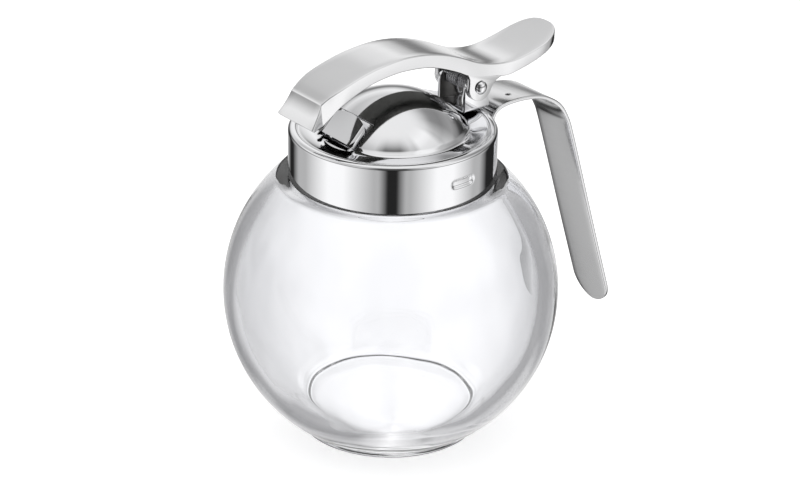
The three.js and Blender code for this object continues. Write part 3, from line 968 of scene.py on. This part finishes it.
# %% Studio room
def studio(name):
    """The world: soft boxes, dark gaps and a white backdrop by direction."""
    world = bpy.data.worlds.new(name)
    world.use_nodes = True
    nodes = world.node_tree.nodes
    links = world.node_tree.links
    nodes.clear()
    out = nodes.new("ShaderNodeOutputWorld")
    coordinate = nodes.new("ShaderNodeTexCoord")
    front = nodes.new("ShaderNodeVectorMath")
    front.operation = "DOT_PRODUCT"
    front.inputs[1].default_value = camera_side(AZIMUTH, 0.0)
    right = nodes.new("ShaderNodeVectorMath")
    right.operation = "DOT_PRODUCT"
    right.inputs[1].default_value = (math.cos(AZIMUTH), math.sin(AZIMUTH), 0.0)
    up = nodes.new("ShaderNodeSeparateXYZ")
    for node in (front, right):
        links.new(coordinate.outputs["Generated"], node.inputs[0])
    links.new(coordinate.outputs["Generated"], up.inputs["Vector"])
    turn = nodes.new("ShaderNodeMath")
    turn.operation = "ARCTAN2"
    links.new(right.outputs["Value"], turn.inputs[0])
    links.new(front.outputs["Value"], turn.inputs[1])
    around = nodes.new("ShaderNodeMapRange")
    around.inputs["From Min"].default_value = -math.pi
    around.inputs["From Max"].default_value = math.pi
    links.new(turn.outputs["Value"], around.inputs["Value"])
    lower = room_ring(nodes, links, around.outputs["Result"], LOW_ROOM)
    upper = room_ring(nodes, links, around.outputs["Result"], HIGH_ROOM)
    lift = nodes.new("ShaderNodeMapRange")
    lift.interpolation_type = "SMOOTHSTEP"
    lift.inputs["From Min"].default_value = -0.05
    lift.inputs["From Max"].default_value = 0.30
    links.new(up.outputs["Z"], lift.inputs["Value"])
    body_mix = nodes.new("ShaderNodeMix")
    body_mix.data_type = "RGBA"
    links.new(lift.outputs["Result"], body_mix.inputs["Factor"])
    links.new(lower, body_mix.inputs["A"])
    links.new(upper, body_mix.inputs["B"])
    crown = nodes.new("ShaderNodeMapRange")
    crown.interpolation_type = "SMOOTHSTEP"
    crown.inputs["From Min"].default_value = 0.72
    crown.inputs["From Max"].default_value = 0.96
    links.new(up.outputs["Z"], crown.inputs["Value"])
    top_mix = nodes.new("ShaderNodeMix")
    top_mix.data_type = "RGBA"
    links.new(crown.outputs["Result"], top_mix.inputs["Factor"])
    links.new(body_mix.outputs["Result"], top_mix.inputs["A"])
    top_mix.inputs["B"].default_value = (0.92, 0.92, 0.92, 1.0)
    height = nodes.new("ShaderNodeMapRange")
    height.inputs["From Min"].default_value = -1.0
    height.inputs["From Max"].default_value = 1.0
    links.new(up.outputs["Z"], height.inputs["Value"])
    skirting = [((z + 1) / 2, light) for z, light in HORIZON]
    horizon = painted_ramp(nodes, links, height.outputs["Result"], skirting)
    room = nodes.new("ShaderNodeBackground")
    links.new(top_mix.outputs["Result"], room.inputs["Color"])
    links.new(horizon, room.inputs["Strength"])
    plain = nodes.new("ShaderNodeBackground")
    plain.inputs["Color"].default_value = (1.0, 1.0, 1.0, 1.0)
    plain.inputs["Strength"].default_value = 1.05
    seen = nodes.new("ShaderNodeLightPath")
    light_mix = nodes.new("ShaderNodeMix")
    light_mix.data_type = "RGBA"
    light_mix.inputs["Factor"].default_value = 0.30
    light_mix.inputs["B"].default_value = (1.42, 1.42, 1.45, 1.0)
    links.new(top_mix.outputs["Result"], light_mix.inputs["A"])
    behind_glass = nodes.new("ShaderNodeBackground")
    links.new(light_mix.outputs["Result"], behind_glass.inputs["Color"])
    through = nodes.new("ShaderNodeMixShader")
    links.new(seen.outputs["Is Transmission Ray"], through.inputs["Fac"])
    links.new(room.outputs["Background"], through.inputs[1])
    links.new(behind_glass.outputs["Background"], through.inputs[2])
    pick = nodes.new("ShaderNodeMixShader")
    links.new(seen.outputs["Is Camera Ray"], pick.inputs["Fac"])
    links.new(through.outputs["Shader"], pick.inputs[1])
    links.new(plain.outputs["Background"], pick.inputs[2])
    links.new(pick.outputs["Shader"], out.inputs["Surface"])
    return world


SOFT_BOX = 1.1
DARK_GAP = 0.02


def room_wall(wall, backdrop, panels):
    """Stops of brightness round the room: panels with soft edges on a plain wall."""
    stops = [(-180, backdrop)]
    for middle, half, edge, light in panels:
        stops += [
            (middle - half - edge, wall), (middle - half, light),
            (middle + half, light), (middle + half + edge, wall),
        ]
    return stops + [(180, backdrop)]


# Each panel has its middle, in degrees round the object from the camera and positive to the
# right, half its width, the width of its soft edge and how bright it is.
LOW_ROOM = room_wall(0.50, 1.0, [
    (-145, 5, 15, DARK_GAP), (-65, 10, 35, SOFT_BOX), (0, 5, 10, DARK_GAP),
    (60, 10, 30, SOFT_BOX), (135, 10, 15, DARK_GAP),
])
HIGH_ROOM = room_wall(0.70, 1.0, [
    (-95, 15, 20, 1.0), (0, 15, 20, 0.10), (70, 15, 10, SOFT_BOX), (130, 10, 20, 0.35),
])


# Height of the direction and how bright the wall is there: a dark skirting behind the table.
HORIZON = [
    (-0.16, 1.0), (-0.08, 0.90), (0.00, 0.56), (0.09, 0.26),
    (0.17, 0.28), (0.25, 0.66), (0.38, 1.0), (0.50, 0.86), (0.58, 0.73), (0.70, 0.80), (0.82, 1.0),
]


def painted_ramp(nodes, links, source, stops):
    """A grey ramp from pairs of place and brightness."""
    ramp = nodes.new("ShaderNodeValToRGB")
    links.new(source, ramp.inputs["Fac"])
    marks = ramp.color_ramp.elements
    while len(marks) < len(stops):
        marks.new(0.5)
    for mark, (place_on, light) in zip(marks, stops):
        mark.position = place_on
        mark.color = (light, light, light, 1.0)
    return ramp.outputs["Color"]


def room_ring(nodes, links, around, stops):
    """A ramp that runs once round the room, by angle in degrees."""
    places = [((angle + 180) / 360, light) for angle, light in stops]
    return painted_ramp(nodes, links, around, places)


bpy.context.scene.world = studio("studio_room")
bpy.context.scene.view_settings.view_transform = "Standard"

# %% Floor
def floor_finish(name):
    """A white floor that shines a little of its own, so that only soft shade is left on it."""
    material, nodes, links, shader = new_material(name)
    cloud = grain(nodes, links, 2.0, (1.0, 1.0, 1.0), 2.0)
    links.new(
        tint(nodes, links, cloud, (0.955, 0.955, 0.955), (0.965, 0.965, 0.965)),
        shader.inputs["Base Color"],
    )
    shader.inputs["Roughness"].default_value = 0.9
    shader.inputs["Specular IOR Level"].default_value = 0.0
    shader.inputs["Emission Color"].default_value = (1.0, 1.0, 1.0, 1.0)
    shader.inputs["Emission Strength"].default_value = 0.62
    return material


FLOOR_R = 6000.0
floor = make_mesh(
    "floor",
    [(x, y, 0.0) for x, y in arc(0, 0, FLOOR_R, 0, 360, 96)[:-1]],
    [list(range(96))],
)
floor.data.materials.append(floor_finish("white_floor"))
floor.visible_glossy = False
floor.visible_transmission = False
